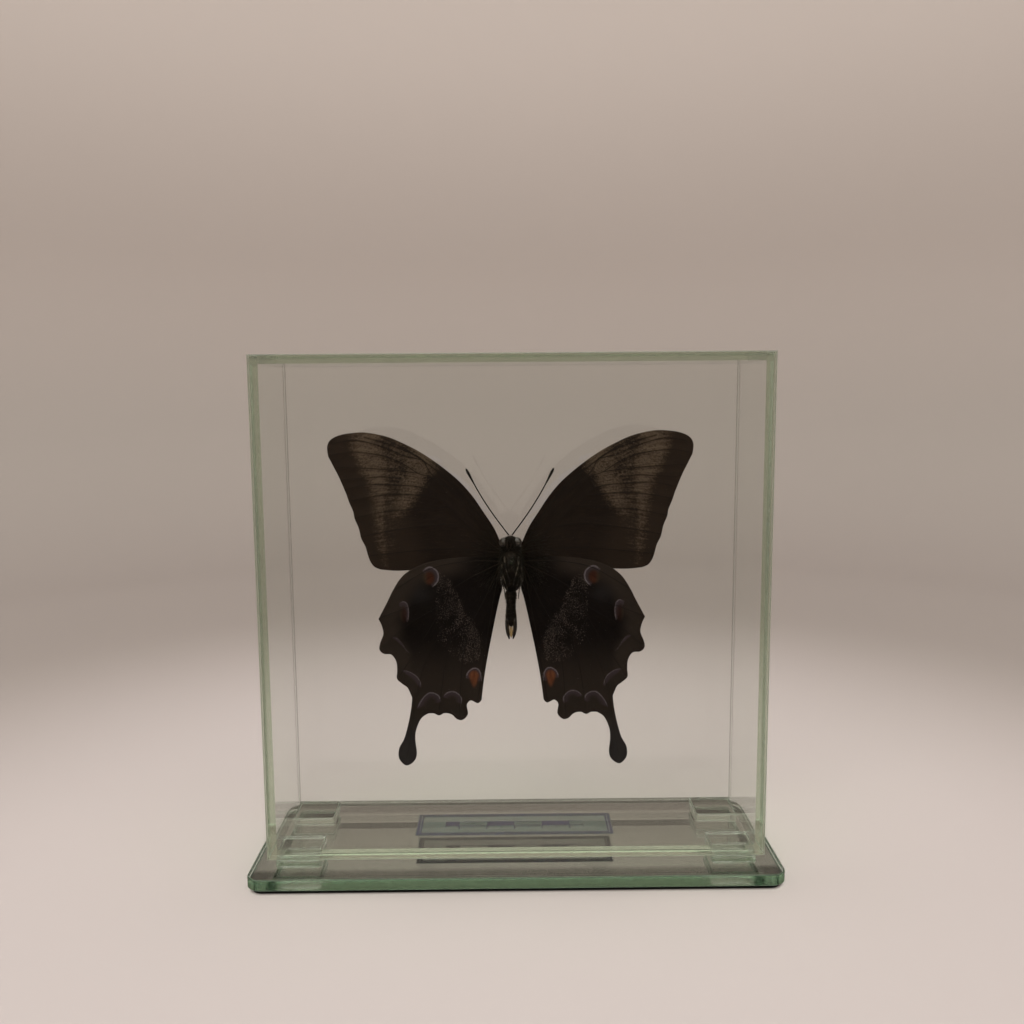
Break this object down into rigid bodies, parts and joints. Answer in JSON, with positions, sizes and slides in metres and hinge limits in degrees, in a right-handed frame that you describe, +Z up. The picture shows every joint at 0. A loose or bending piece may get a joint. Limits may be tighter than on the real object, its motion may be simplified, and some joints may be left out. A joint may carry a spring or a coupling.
{
  "type": "mounted swallowtail butterfly in a rectangular glass case",
  "caption": "Swallowtail butterfly spread flat inside a glued rectangular glass display case, raised on small glass feet above a mirror base plate.",
  "frame": {"origin": "middle of the underside of the black backing sheet, on the surface the object stands on", "axes": "+Z up; +X along the base plate's length, to the right as seen from the side of the wings' dark underside; -Y towards that side, +Y towards the side of the wings' blue upper face"},
  "size_m": [0.182, 0.06, 0.179],
  "materials": {
    "case_glass": "clear float glass, green at the edges, ground arrises",
    "mirror_glass": "clear float glass with a polished green edge",
    "mirror_coating": "silvered",
    "backing": "matt black",
    "label": "pale film with a double blue border and a plain pattern",
    "adhesive": "clear cured adhesive",
    "wing": "matt dark scales below, metallic blue with black borders above",
    "body": "dark chitin under grey-brown hairs",
    "limb": "dark brown chitin with fine scales"
  },
  "bodies": {
    "root": {"backing_sheet": "backing", "mirror_coating": "mirror_coating", "mirror_glass": "mirror_glass", "foot_front_left": "case_glass", "foot_front_right": "case_glass", "foot_back_left": "case_glass", "foot_back_right": "case_glass", "pane_front": "case_glass", "pane_back": "case_glass", "pane_left": "case_glass", "pane_right": "case_glass", "pane_bottom": "case_glass", "pane_top": "case_glass", "label": "label", "adhesive_drop": "adhesive", "forewing_left": "wing", "forewing_right": "wing", "hindwing_left": "wing", "hindwing_right": "wing", "head": "body", "thorax": "body", "abdomen": "body", "leg_front_left": "limb", "leg_front_right": "limb", "leg_middle_left": "limb", "leg_middle_right": "limb", "leg_hind_left": "limb", "leg_hind_right": "limb", "antenna_left": "limb", "antenna_right": "limb"}
  },
  "joints": []
}
